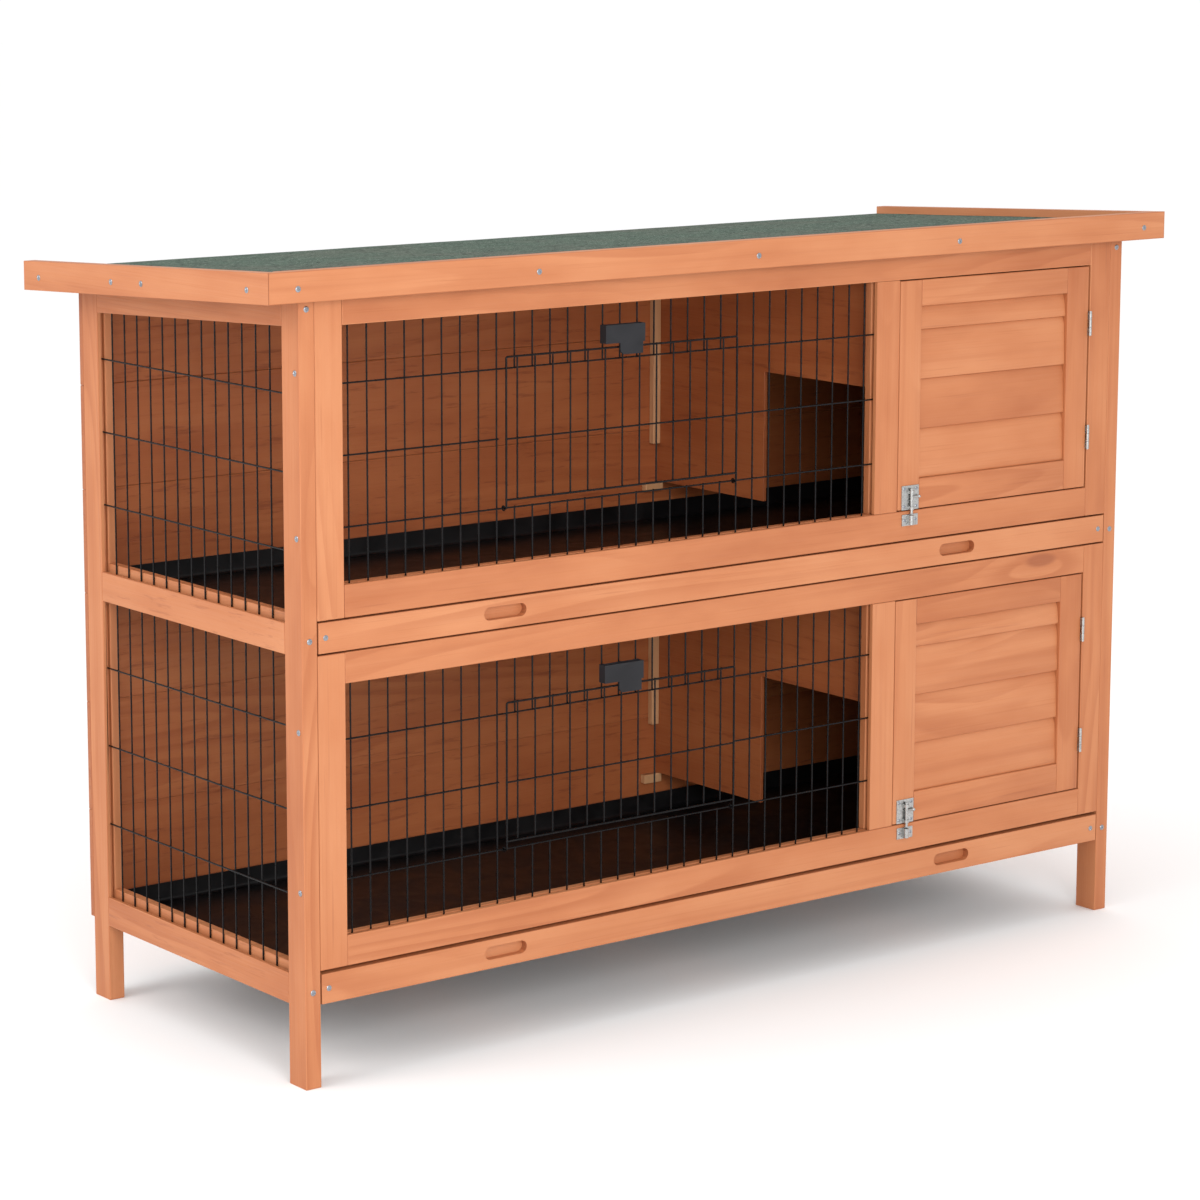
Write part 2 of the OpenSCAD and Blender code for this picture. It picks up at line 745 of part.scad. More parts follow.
module wire_door(k) {
    z0 = open_z + k * storey_h;
    z_hinge = z0 + cross_z;
    top = z0 + wd_top;
    bottom = z0 + wd_bottom;
    color(wire_colour) in_frame() {
        wire_door_side(wd_x0, z_hinge, top);
        wire_door_side(wd_x1, z_hinge, top);
        for (x = [wd_x0, wd_x1]) translate([x, wd_y, top]) sphere(d = door_wire_d);
        wire_x(wd_x0, wd_x1, wd_y, top, door_wire_d);
        wire_x(wd_x0, wd_x1, wd_y, bottom, door_wire_d);
        wire_x(wd_x0, wd_x1, wd_y, z_hinge + cross_pitch, wire_d);
        for (i = [door_first + 1 : door_last - 1])
            wire_z(wire_x0 + i * wire_pitch, wd_upright_y, bottom - 1, top + 1);
    }
}

module lower_wire_door() { wire_door(0); }
module upper_wire_door() { wire_door(1); }

// ---------- clips ----------

// A moulded clip: a wide plate with jaws that snap over three upright wires, and a
// lip that hangs in front of the wire door's top bar.
module clip(k) {
    z0 = open_z + k * storey_h;
    back = clip_front + clip_plate_t;
    jaw_y0 = upright_y - wire_d / 2 - 0.25;
    jaw_y1 = upright_y + wire_d / 2 - 0.2;
    slot = wire_d + 0.6;
    jaw_wall = 1.6;
    corner = 7;
    color(pan_colour) in_frame() {
        difference() {
            union() {
                block([clip_x0, clip_front, z0 + clip_z], [clip_x0 + clip_w, jaw_y0, z0 + clip_z + clip_h]);
                for (i = [0 : 2])
                    translate([clip_x0 + 4 + i * wire_pitch - slot / 2 - jaw_wall, jaw_y0 - 1, z0 + clip_z])
                        cube([slot + 2 * jaw_wall, jaw_y1 - jaw_y0 + 1, clip_h]);
                translate([clip_x0 + clip_w - lip_w - 3, back, z0 + lip_z]) rotate([90, 0, 0])
                    linear_extrude(clip_plate_t)
                    union() {
                        translate([corner, corner]) circle(r = corner);
                        translate([corner, 0]) square([lip_w - corner, corner + 1]);
                        translate([0, corner]) square([lip_w, clip_z - lip_z - corner + 2]);
                    }
            }
            for (i = [0 : 2])
                translate([clip_x0 + 4 + i * wire_pitch - slot / 2, jaw_y0, z0 + clip_z - 1])
                    cube([slot, 10, clip_h + 2]);
            block([clip_x0 + 2, back, z0 + clip_z + 2],
                  [clip_x0 + clip_w - 2, jaw_y0 - 2, z0 + clip_z + clip_h + 1]);
        }
    }
}

module lower_clip() { clip(0); }
module upper_clip() { clip(1); }

// ---------- screws ----------

// A pan-head screw driven along +Y from a face, or along +X when turned.
module screw(at, turn = 0) {
    in_frame() translate(at) rotate([0, 0, turn]) rotate([-90, 0, 0]) {
        cylinder(r = screw_r, h = screw_len, $fn = 16);
        translate([0, 0, -screw_head_t]) cylinder(r = screw_head_r, h = screw_head_t, $fn = 24);
    }
}

module roof_screws() {
    fascia_screw_z = roof_z - fascia_h / 2 - 2;
    color(zinc) {
        for (i = [0 : 4])
            screw([-15 + i * (body_w + 30) / 4, -front_overhang, fascia_screw_z]);
        for (y = [20, body_d / 2 + 8, body_d * 0.66, body_d + 8]) {
            z = fascia_screw_z - slope * (y + front_overhang);
            screw([-side_overhang, y, z], -90);
            screw([body_w + side_overhang, y, z], 90);
        }
    }
}

module post_screws() {
    zs = [tray_z + 15, tray_z + 15 + storey_h, open_z + open_h + storey_h + 20];
    color(zinc) {
        for (x = [leg_w / 2, body_w - leg_w / 2], z = zs) screw([x, 0, z]);
        for (z = [open_z + 55, open_z + 235, open_z + storey_h + 55, open_z + storey_h + 235]) {
            screw([0, leg_d * 0.24, z], -90);
            screw([body_w, leg_d * 0.24, z], 90);
        }
    }
}

front_left_post();
front_right_post();
back_left_post();
back_right_post();
left_top_rail();
left_mid_rail();
left_bottom_rail();
right_top_rail();
right_mid_rail();
right_bottom_rail();
left_mesh_upper();
left_mesh_lower();
right_boards_upper();
right_boards_lower();
back_rails();
back_boards_upper();
back_boards_lower();
lower_front_top_rail();
lower_front_bottom_rail();
lower_front_stiles();
lower_front_mesh();
upper_front_top_rail();
upper_front_bottom_rail();
upper_front_stiles();
upper_front_mesh();
lower_partition();
upper_partition();
partition_battens();
roof_board();
roof_felt();
roof_front_fascia();
roof_left_fascia();
roof_right_fascia();
tray_runners();
lower_tray_front();
upper_tray_front();
lower_tray_pan();
upper_tray_pan();
lower_tray_bars();
upper_tray_bars();
lower_door_frame();
upper_door_frame();
lower_door_boards();
upper_door_boards();
hinge_frame_leaves();
lower_hinge_door_leaves();
upper_hinge_door_leaves();
hinge_pins();
lower_latch_plate();
upper_latch_plate();
lower_latch_bolt();
upper_latch_bolt();
latch_keepers();
lower_wire_door();
upper_wire_door();
lower_clip();
upper_clip();
roof_screws();
post_screws();
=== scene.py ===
"""The visual model of the two-storey rabbit hutch, in metres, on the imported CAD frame."""
import math

import bmesh
import bpy
from mathutils import Matrix, Vector


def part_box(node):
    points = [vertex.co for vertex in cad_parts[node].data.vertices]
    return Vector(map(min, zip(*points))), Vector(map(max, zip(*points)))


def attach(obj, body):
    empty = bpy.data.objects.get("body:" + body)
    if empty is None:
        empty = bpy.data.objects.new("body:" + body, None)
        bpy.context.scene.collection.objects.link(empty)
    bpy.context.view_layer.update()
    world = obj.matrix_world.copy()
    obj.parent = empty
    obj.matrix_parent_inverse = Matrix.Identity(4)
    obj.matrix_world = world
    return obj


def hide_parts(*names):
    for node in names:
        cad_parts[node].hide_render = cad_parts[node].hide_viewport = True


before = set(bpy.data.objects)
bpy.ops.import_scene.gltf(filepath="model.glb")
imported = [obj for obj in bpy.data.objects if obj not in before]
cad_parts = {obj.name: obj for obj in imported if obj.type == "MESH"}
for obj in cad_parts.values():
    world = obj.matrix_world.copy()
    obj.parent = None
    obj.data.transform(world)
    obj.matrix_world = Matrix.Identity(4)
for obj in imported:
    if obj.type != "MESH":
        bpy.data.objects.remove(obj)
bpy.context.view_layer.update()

# ---------------------------------------------------------------- places
# The CAD's own values, in millimetres: x from the left legs' outer faces, y from the
# front legs' faces, z from the ground.
MM = 0.001
STOREYS = {"lower": 0, "upper": 1}
STOREY_H = 394
BODY_W, BODY_D = 1248, 460
LEG_W, LEG_D = 20, 34
ROOF_Z, ROOF_FALL, ROOF_D = 910, 26, 526
SIDE_OVERHANG, FRONT_OVERHANG = 52, 23
OPEN_Z, OPEN_H = 168, 284
RUN_X0, RUN_X1 = 56, 831
WIRE_R, DOOR_WIRE_R, WIRE_IN = 1.0, 1.2, 5
FRONT_WIRE_X0, FRONT_PITCH, FRONT_WIRES = 68.5, 25, 31
CROSS_Y, UPRIGHT_Y = 7.0, 9.02
CROSS_HEIGHTS = (62, 141, 220)
DOOR_FIRST, DOOR_LAST = 8, 22
SIDE_WIRE_Y0, SIDE_PITCH, SIDE_WIRES = 42, 28, 14
SIDE_CROSS_X, SIDE_UPRIGHT_X = 6.2, 8.22
SIDE_CROSS_HEIGHTS = ((89, 184, 278), (79, 165, 251))
SIDE_RAIL_TOP, SIDE_PANEL_TOP, SIDE_TOP_H = 127, 486, 38
LATCH_X = 889
TRAY_Z, TRAY_H = 95, 34
FASCIA_T, FASCIA_GAP = 15, 0.1
ROOF_DROP = 23.5           # the roof board's underside, below the fascias' top edge

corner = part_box("front_left_post")[0]


def at(x, y, z):
    """A point of the CAD's millimetre values, in the frame's metres."""
    return Vector((corner.x + x * MM, corner.y + y * MM, z * MM))


def roof_top(y):
    """Height of the fascias' top edge, in millimetres, at a depth y."""
    return ROOF_Z - ROOF_FALL / ROOF_D * (y + FRONT_OVERHANG)


# ---------------------------------------------------------------- camera
CAMERA_PLACE = (-2.741, -3.477, 1.280)
CAMERA_AZIMUTH, CAMERA_ELEVATION = 37.0, 9.27
LENS = 109.1
SHIFT = (0.05, -0.075)

camera = bpy.data.objects.new("camera", bpy.data.cameras.new("camera"))
camera.location = CAMERA_PLACE
camera.rotation_euler = (math.radians(90 - CAMERA_ELEVATION), 0, -math.radians(CAMERA_AZIMUTH))
camera.data.lens = LENS
camera.data.shift_x, camera.data.shift_y = SHIFT
camera.data.dof.use_dof = False
bpy.context.scene.collection.objects.link(camera)
bpy.context.scene.camera = camera


# ---------------------------------------------------------------- shader tools
class Shader:
    """A material's node tree, with short ways to add nodes and join them."""

    def __init__(self, name, roughness, metallic=0.0):
        self.material = bpy.data.materials.new(name)
        self.material.use_nodes = True
        self.tree = self.material.node_tree
        self.surface = self.tree.nodes["Principled BSDF"]
        self.surface.inputs["Roughness"].default_value = roughness
        self.surface.inputs["Metallic"].default_value = metallic

    def add(self, kind, inputs=(), **settings):
        """A new node; inputs maps socket to a value, or to the socket that feeds it."""
        node = self.tree.nodes.new("ShaderNode" + kind)
        for key, value in settings.items():
            setattr(node, key, value)
        for key, value in dict(inputs).items():
            if isinstance(value, bpy.types.NodeSocket):
                self.tree.links.new(value, node.inputs[key])
            else:
                node.inputs[key].default_value = value
        return node

    def math(self, operation, a, b=0.0):
        return self.add("Math", {0: a, 1: b}, operation=operation).outputs[0]

    def scaled(self, value, factor):
        return self.math("MULTIPLY", value, factor)

    def vector(self, x, y, z):
        return self.add("CombineXYZ", {0: x, 1: y, 2: z}).outputs[0]

    def noise(self, vector, scale, detail=2.0, roughness=0.5, distortion=0.0):
        sockets = {"Vector": vector, "Scale": scale, "Detail": detail,
                   "Roughness": roughness, "Distortion": distortion}
        return self.add("TexNoise", sockets).outputs["Fac"]

    def voronoi(self, vector, scale, output="Distance"):
        return self.add("TexVoronoi", {"Vector": vector, "Scale": scale}).outputs[output]

    def span(self, value, low, high, to_low=0.0, to_high=1.0):
        """value, taken from low..high to to_low..to_high with soft ends."""
        sockets = {"Value": value, 1: low, 2: high, 3: to_low, 4: to_high}
        return self.add("MapRange", sockets, interpolation_type="SMOOTHSTEP").outputs[0]

    def ramp(self, value, *stops):
        node = self.add("ValToRGB", {0: value})
        elements = node.color_ramp.elements
        elements[0].position, elements[0].color = stops[0][0], (*stops[0][1], 1)
        elements[1].position, elements[1].color = stops[-1][0], (*stops[-1][1], 1)
        for place, colour in stops[1:-1]:
            elements.new(place).color = (*colour, 1)
        return node.outputs["Color"]

    def blend(self, factor, a, b, how="MIX"):
        """Colour a with b mixed or multiplied over it by factor."""
        node = self.add("Mix", {0: factor}, data_type="RGBA", blend_type=how)
        for key, value in ((6, a), (7, b)):
            if isinstance(value, bpy.types.NodeSocket):
                self.tree.links.new(value, node.inputs[key])
            else:
                node.inputs[key].default_value = (*value, 1)
        return node.outputs[2]

    def bump(self, height, distance, strength=1.0, under=None):
        node = self.add("Bump", {"Height": height, "Distance": distance, "Strength": strength})
        if under is not None:
            self.tree.links.new(under, node.inputs["Normal"])
        return node.outputs["Normal"]

    def edges(self, radius):
        """1 along the piece's edges, 0 on its faces."""
        rounded = self.add("Bevel", {"Radius": radius}, samples=4).outputs[0]
        true = self.add("NewGeometry").outputs["Normal"]
        match = self.add("VectorMath", {0: rounded, 1: true}, operation="DOT_PRODUCT").outputs["Value"]
        return self.span(match, 0.995, 0.80)

    def own_number(self):
        """A number from 0 to 1 that differs from board to board."""
        island = self.add("NewGeometry").outputs["Random Per Island"]
        piece = self.add("ObjectInfo").outputs["Random"]
        return self.math("FRACT", self.math("ADD", island, self.math("MULTIPLY", piece, 3.7)))

    def finish(self, colour=None, roughness=None, normal=None):
        for name, value in (("Base Color", colour), ("Roughness", roughness), ("Normal", normal)):
            if value is not None:
                self.tree.links.new(value, self.surface.inputs[name])
        return self.material


# ---------------------------------------------------------------- materials
STAIN_PALE = (0.530, 0.212, 0.090)
STAIN_MID = (0.465, 0.163, 0.061)
STAIN_DEEP = (0.370, 0.110, 0.035)
STAIN_LINE = (0.235, 0.058, 0.019)
BARE_PALE = (0.66, 0.37, 0.190)
BARE_DEEP = (0.54, 0.27, 0.120)
# painted shade: a darker, redder multiply for faces inside the hutch, standing in for the shade there
INNER_PAINTED_SHADE = (0.84, 0.68, 0.50)
TORN_DEPTH = 1.5           # how deep torn grain cuts into the bump's height
AXES = {"X": (0, 1, 2), "Y": (1, 0, 2), "Z": (2, 0, 1)}


def wood(name, grain, inner=None, rough_sawn=0.0, bare=False):
    """Stained softwood with its grain along an axis. inner is the object-space direction
    of the faces that get a painted shade (a darker, redder multiply), or "all";
    rough_sawn is how much torn grain shows, and bare wood has no stain."""
    s = Shader(name, 0.6)
    coords = s.add("TexCoord")
    place = s.add("SeparateXYZ", {0: coords.outputs["Object"]}).outputs
    facing = s.add("SeparateXYZ", {0: coords.outputs["Normal"]}).outputs
    along, across, through = (place[i] for i in AXES[grain])
    own = s.own_number()
    own_shift = s.scaled(own, 37.0)
    pale, deep = (BARE_PALE, BARE_DEEP) if bare else (STAIN_PALE, STAIN_DEEP)
    middle = tuple((a + b) / 2 for a, b in zip(pale, deep)) if bare else STAIN_MID

    def drawn_out(width, length):
        """Texture space, in each board its own, stretched along the grain."""
        stretched = s.vector(s.scaled(across, width), s.scaled(through, width),
                             s.scaled(along, length))
        return s.add("VectorMath", {0: stretched, 1: s.vector(own_shift, own_shift, own_shift)},
                     operation="ADD").outputs[0]

    # growth rings: contour lines of a slow noise, which part around the knots
    slow = drawn_out(8.0, 0.75)
    knot_near = s.voronoi(drawn_out(7.0, 2.2), 1.0)
    knot = s.span(knot_near, 0.075, 0.045)
    knot_swirl = s.span(knot_near, 0.34, 0.04)
    figure = s.noise(slow, 1.0, 1.0, 0.4, 0.25)
    rings = s.math("FRACT", s.math("ADD", s.scaled(figure, 17.0), s.scaled(knot_swirl, 1.3)))
    late = s.math("MULTIPLY", s.span(rings, 0.20, 0.86), s.span(rings, 1.0, 0.90))
    shown = s.span(s.noise(drawn_out(5.0, 1.1), 1.0, 1.0), 0.44, 0.64)

    # soft streaks, fine fibres, and the uneven take-up of the stain
    streaks = s.noise(drawn_out(46.0, 1.1), 1.0, 3.0, 0.55)
    fibres = s.noise(drawn_out(540.0, 7.0), 1.0, 3.0, 0.6)
    blotches = s.noise(drawn_out(14.0, 5.0), 1.0, 3.0, 0.55)
    tone = s.math("ADD", s.scaled(s.math("SUBTRACT", own, 0.5), 0.26), blotches)
    colour = s.ramp(tone, (0.16, deep), (0.50, middle), (0.86, pale))
    colour = s.blend(s.math("MULTIPLY", late, s.scaled(shown, 0.65)), colour, deep)
    colour = s.blend(s.span(streaks, 0.52, 0.74, 0.0, 0.48), colour, deep)
    colour = s.blend(s.span(streaks, 0.44, 0.26, 0.0, 0.30), colour, pale)
    colour = s.blend(s.span(fibres, 0.58, 0.80, 0.0, 0.20), colour, STAIN_LINE)
    flecks = s.span(s.noise(drawn_out(210.0, 6.5), 1.0, 1.0, 0.4), 0.70, 0.80)
    colour = s.blend(s.scaled(flecks, 0.22), colour, STAIN_LINE)
    colour = s.blend(s.math("MULTIPLY", s.span(knot_near, 0.15, 0.05), s.scaled(shown, 0.32)),
                     colour, deep)
    colour = s.blend(s.math("MULTIPLY", knot, s.scaled(shown, 0.60)), colour, STAIN_LINE)
    if rough_sawn:
        torn = s.span(s.noise(drawn_out(150.0, 15.0), 1.0, 4.0, 0.68), 0.56, 0.68)
        colour = s.blend(s.scaled(torn, rough_sawn), colour, STAIN_LINE)

    # end grain drinks more stain; the edges are darkened too, partly as stain and partly as painted
    # shade in joints and creases
    end = s.span(s.math("ABSOLUTE", facing[AXES[grain][0]]), 0.6, 0.8)
    colour = s.blend(s.scaled(end, 0.45), colour, STAIN_LINE)
    edge_stain_and_shade = s.math("MULTIPLY", s.edges(0.0022), s.span(blotches, 0.35, 0.65, 0.25, 0.75))
    colour = s.blend(s.scaled(edge_stain_and_shade, 0.45), colour, deep)
    # painted shade: the inner faces, or the whole piece, are multiplied by INNER_PAINTED_SHADE
    if inner == "all":
        colour = s.blend(1.0, colour, INNER_PAINTED_SHADE, "MULTIPLY")
    elif inner:
        towards = s.add("VectorMath", {0: coords.outputs["Normal"], 1: inner},
                        operation="DOT_PRODUCT").outputs["Value"]
        colour = s.blend(s.span(towards, 0.6, 0.8), colour, INNER_PAINTED_SHADE, "MULTIPLY")

    rough = s.span(fibres, 0.2, 0.8, 0.50, 0.72)
    height = s.math("ADD", s.scaled(late, 0.4), s.scaled(fibres, 0.8))
    if rough_sawn:
        height = s.math("SUBTRACT", height, s.scaled(torn, TORN_DEPTH * rough_sawn))
    normal = s.bump(height, 0.00022, 0.8)
    normal = s.bump(s.math("SUBTRACT", blotches, s.scaled(knot, 0.3)), 0.0012, 0.30, normal)
    return s.finish(colour, rough, normal)


def felt(name):
    """Green mineral felt: tight granules of several greens, with dark specks and patches."""
    s = Shader(name, 0.95)
    s.surface.inputs["Specular IOR Level"].default_value = 0.2
    place = s.add("TexCoord").outputs["Object"]
    granule = s.voronoi(place, 560.0, "Color")
    shade = s.add("SeparateColor", {0: granule}).outputs[0]
    colour = s.ramp(shade, (0.0, (0.026, 0.050, 0.036)), (0.50, (0.076, 0.120, 0.088)),
                    (0.88, (0.130, 0.178, 0.138)), (1.0, (0.26, 0.29, 0.24)))
    patches = s.noise(place, 7.0, 4.0, 0.62)
    colour = s.blend(s.span(patches, 0.40, 0.66, 0.0, 0.45), colour, (0.125, 0.125, 0.100))
    clouds = s.span(s.noise(place, 34.0, 4.0, 0.65), 0.50, 0.66)
    colour = s.blend(s.scaled(clouds, 0.50), colour, (0.040, 0.062, 0.046))
    specks = s.span(s.noise(place, 120.0, 2.0, 0.5), 0.61, 0.66)
    colour = s.blend(s.scaled(specks, 0.90), colour, (0.010, 0.014, 0.012))
    normal = s.bump(s.voronoi(place, 560.0), 0.0010, 0.9)
    normal = s.bump(s.noise(place, 60.0, 3.0), 0.0012, 0.5, normal)
    return s.finish(colour, s.span(shade, 0.0, 1.0, 0.80, 0.98), normal)


def coated_wire(name):
    """Steel wire with a black, slightly uneven coating."""
    s = Shader(name, 0.3)
    s.surface.inputs["Specular IOR Level"].default_value = 0.16
    place = s.add("TexCoord").outputs["Object"]
    cloud = s.noise(place, 140.0, 3.0, 0.6)
    colour = s.ramp(cloud, (0.30, (0.0015, 0.0014, 0.0016)), (0.70, (0.0045, 0.0042, 0.0050)))
    rubbed = s.span(s.noise(place, 520.0, 2.0), 0.68, 0.76)
    colour = s.blend(s.scaled(rubbed, 0.3), colour, (0.035, 0.034, 0.036))
    normal = s.bump(s.noise(place, 900.0, 2.0), 0.00010, 0.5)
    return s.finish(colour, s.span(cloud, 0.3, 0.7, 0.20, 0.34), normal)


def moulded_plastic(name, dark, light, grain_scale, roughness, gloss):
    """Black moulded plastic with a fine texture, faint flow marks and paler edges, which are a painted
    highlight.
    """
    s = Shader(name, roughness)
    s.surface.inputs["Specular IOR Level"].default_value = gloss
    place = s.add("TexCoord").outputs["Object"]
    flow = s.noise(place, 22.0, 3.0, 0.55, 0.6)
    colour = s.ramp(flow, (0.30, dark), (0.72, light))
    scuffs = s.span(s.noise(place, 160.0, 4.0, 0.7), 0.62, 0.72)
    colour = s.blend(s.scaled(scuffs, 0.25), colour, (0.030, 0.029, 0.032))
    # painted highlight: paler colour along the edges
    colour = s.blend(s.scaled(s.edges(0.0009), 0.30), colour, (0.055, 0.055, 0.062))
    texture = s.noise(place, grain_scale, 2.0, 0.5)
    rough = s.span(flow, 0.3, 0.7, roughness - 0.07, roughness + 0.09)
    return s.finish(colour, rough, s.bump(texture, 0.00015, 0.6))


def plated_metal(name, dark, light, roughness):
    """Zinc-plated steel: fine bright and dull crystals, darker where dirt sits."""
    s = Shader(name, roughness, metallic=1.0)
    place = s.add("TexCoord").outputs["Object"]
    crystals = s.add("SeparateColor", {0: s.voronoi(place, 900.0, "Color")}).outputs[1]
    cloud = s.noise(place, 190.0, 3.0, 0.55)
    middle = tuple(0.35 * a + 0.65 * b for a, b in zip(dark, light))
    colour = s.ramp(crystals, (0.0, middle), (0.7, light))
    colour = s.blend(s.span(cloud, 0.56, 0.76, 0.0, 0.45), colour, dark)
    # painted highlight: the edges are brightened towards pale grey
    colour = s.blend(s.scaled(s.edges(0.0004), 0.40), colour, (0.85, 0.85, 0.85))
    rough = s.span(cloud, 0.3, 0.7, roughness - 0.06, roughness + 0.12)
    return s.finish(colour, rough, s.bump(cloud, 0.00008, 0.5))


WOOD = {axis: wood("stained_wood_" + axis.lower(), axis) for axis in AXES}
SAWN_WOOD = wood("sawn_side_wood", "Y", rough_sawn=0.35)
BARE_WOOD = wood("bare_wood", "Z", bare=True)
# the back and right boards' inner faces, and the partition all over, carry a painted shade
BACK_WOOD = wood("back_board_wood", "X", inner=(0, -1, 0), rough_sawn=0.55)
RIGHT_WOOD = wood("right_board_wood", "Y", inner=(-1, 0, 0), rough_sawn=0.45)
PARTITION_WOOD = wood("partition_wood", "Y", inner="all", rough_sawn=0.45)
FELT = felt("mineral_felt")
WIRE = coated_wire("coated_wire")
PAN_PLASTIC = moulded_plastic("pan_plastic", (0.0030, 0.0028, 0.0032), (0.0075, 0.0068, 0.0072),
                              1500.0, 0.40, 0.28)
CLIP_PLASTIC = moulded_plastic("clip_plastic", (0.006, 0.006, 0.008), (0.014, 0.014, 0.017),
                               1900.0, 0.48, 0.30)
ZINC = plated_metal("zinc_plate", (0.12, 0.12, 0.115), (0.48, 0.48, 0.47), 0.24)
SCREW_STEEL = plated_metal("screw_steel", (0.10, 0.105, 0.12), (0.34, 0.355, 0.39), 0.28)


# ---------------------------------------------------------------- shape tools
def piece(name, bm, material, slot, body, stands_for=(), sharp=35):
    """Makes an object of bm, in the frame's metres, and gives it to a CAD body."""
    bmesh.ops.recalc_face_normals(bm, faces=bm.faces)
    mesh = bpy.data.meshes.new(name)
    bm.to_mesh(mesh)
    bm.free()
    mesh.materials.append(material)
    mesh.shade_smooth()
    mesh.set_sharp_from_angle(angle=math.radians(sharp))
    made = bpy.data.objects.new(name, mesh)
    bpy.context.scene.collection.objects.link(made)
    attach(made, body)
    if stands_for:
        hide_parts(*stands_for)
    return made


def board(bm, low, high, edge=1.1):
    """A board between two corners, given in millimetres, with eased edges."""
    low, high = at(*low), at(*high)
    place = Matrix.Translation((low + high) / 2) @ Matrix.Diagonal((*(high - low), 1))
    cube = bmesh.ops.create_cube(bm, size=1, matrix=place)
    edges = list({e for v in cube["verts"] for e in v.link_edges})
    bmesh.ops.bevel(bm, geom=edges, offset=edge * MM, segments=3, profile=0.55, affect="EDGES")


def rounded(points, radius, steps=6):
    """The points of a line in millimetres, with each inner corner turned as an arc."""
    points = [Vector(p) for p in points]
    line = [points[0]]
    for before, turn, after in zip(points, points[1:], points[2:]):
        into, out = (before - turn).normalized(), (after - turn).normalized()
        for i in range(steps + 1):
            t = i / steps
            line.append(turn + into * radius * (1 - t) ** 2 + out * radius * t ** 2)
    line.append(points[-1])
    return line


def tube(bm, points, radius, sides=12):
    """A round wire along points, both in millimetres, with closed ends."""
    line = [at(*p) for p in points]
    tangent = (line[1] - line[0]).normalized()
    normal = tangent.orthogonal().normalized()
    rings = []
    for i, point in enumerate(line):
        ahead = line[min(i + 1, len(line) - 1)] - line[max(i - 1, 0)]
        turn = tangent.rotation_difference(ahead.normalized())
        tangent, normal = ahead.normalized(), (turn @ normal).normalized()
        side = tangent.cross(normal)
        angles = [2 * math.pi * k / sides for k in range(sides)]
        rings.append([bm.verts.new(point + (normal * math.cos(a) + side * math.sin(a)) * radius * MM)
                      for a in angles])
    for a, b in zip(rings, rings[1:]):
        for k in range(sides):
            bm.faces.new((a[k], a[(k + 1) % sides], b[(k + 1) % sides], b[k]))
    bm.faces.new(rings[0])
    bm.faces.new(rings[-1])


def weld_spot(bm, centre, radius, stretch):
    """The small flattened bead where two wires were welded."""
    scale = Matrix.Diagonal((*(Vector(stretch) * radius * MM), 1))
    bmesh.ops.create_uvsphere(bm, u_segments=10, v_segments=6, radius=1,
                              matrix=Matrix.Translation(at(*centre)) @ scale)


def ring_loop(bm, centre, major, minor, turns=28, sides=12):
    """A wire ring that turns round the X axis."""
    loops = []
    for i in range(turns):
        a = 2 * math.pi * i / turns
        out = Vector((0, math.cos(a), math.sin(a)))
        middle = at(*centre) + out * major * MM
        loops.append([bm.verts.new(middle + (out * math.cos(b) + Vector((1, 0, 0)) * math.sin(b))
                                   * minor * MM)
                      for b in (2 * math.pi * k / sides for k in range(sides))])
    for i, loop in enumerate(loops):
        after = loops[(i + 1) % turns]
        for k in range(sides):
            bm.faces.new((loop[k], loop[(k + 1) % sides], after[(k + 1) % sides], after[k]))


def screw_head(bm, centre, outward, radius, height):
    """A domed screw head with a cross recess, its underside at centre."""
    turn = Vector((0, 0, 1)).rotation_difference(Vector(outward)).to_matrix().to_4x4()
    place = Matrix.Translation(at(*centre)) @ turn @ Matrix.Scale(MM, 4)
    spokes, rim = 40, 0.35 * height
    profile = [i / 12 for i in range(1, 13)]

    def rise(part, angle):
        dome = rim + (height - rim) * math.sqrt(max(0.0, 1 - part ** 2))
        u, v = abs(part * math.cos(angle)), abs(part * math.sin(angle))
        arm = min(u, v) < 0.13 and max(u, v) < 0.55
        return dome - (0.55 * height if arm else 0.0)

    middle = bm.verts.new(place @ Vector((0, 0, rise(0, 0))))
    rings = []
    for part in profile:
        rings.append([bm.verts.new(place @ Vector((radius * part * math.cos(a),
                                                   radius * part * math.sin(a), rise(part, a))))
                      for a in (2 * math.pi * k / spokes for k in range(spokes))])
    rings.append([bm.verts.new(place @ Vector((radius * math.cos(a), radius * math.sin(a), 0)))
                  for a in (2 * math.pi * k / spokes for k in range(spokes))])
    for k in range(spokes):
        bm.faces.new((middle, rings[0][k], rings[0][(k + 1) % spokes]))
    for a, b in zip(rings, rings[1:]):
        for k in range(spokes):
            bm.faces.new((a[k], b[k], b[(k + 1) % spokes], a[(k + 1) % spokes]))
    bm.faces.new(rings[-1])


def plain_normals():
    """A modifier's node group that shades a mesh without its stored normals and sharp
    marks, so that the eased edges catch the light. The mesh itself isn't changed."""
    group = bpy.data.node_groups.new("plain_normals", "GeometryNodeTree")
    for way in ("INPUT", "OUTPUT"):
        group.interface.new_socket("Geometry", in_out=way, socket_type="NodeSocketGeometry")
    start, end = group.nodes.new("NodeGroupInput"), group.nodes.new("NodeGroupOutput")
    plain = group.nodes.new("GeometryNodeSetMeshNormal")
    plain.mode = "SHARPNESS"
    plain.inputs["Remove Custom"].default_value = True
    group.links.new(start.outputs[0], plain.inputs["Mesh"])
    group.links.new(plain.outputs[0], end.inputs[0])
    return group


PLAIN_NORMALS = plain_normals()
MERGE_WITHIN = 0.00002
EASE_ANGLE, EASE_PROFILE = 40, 0.55


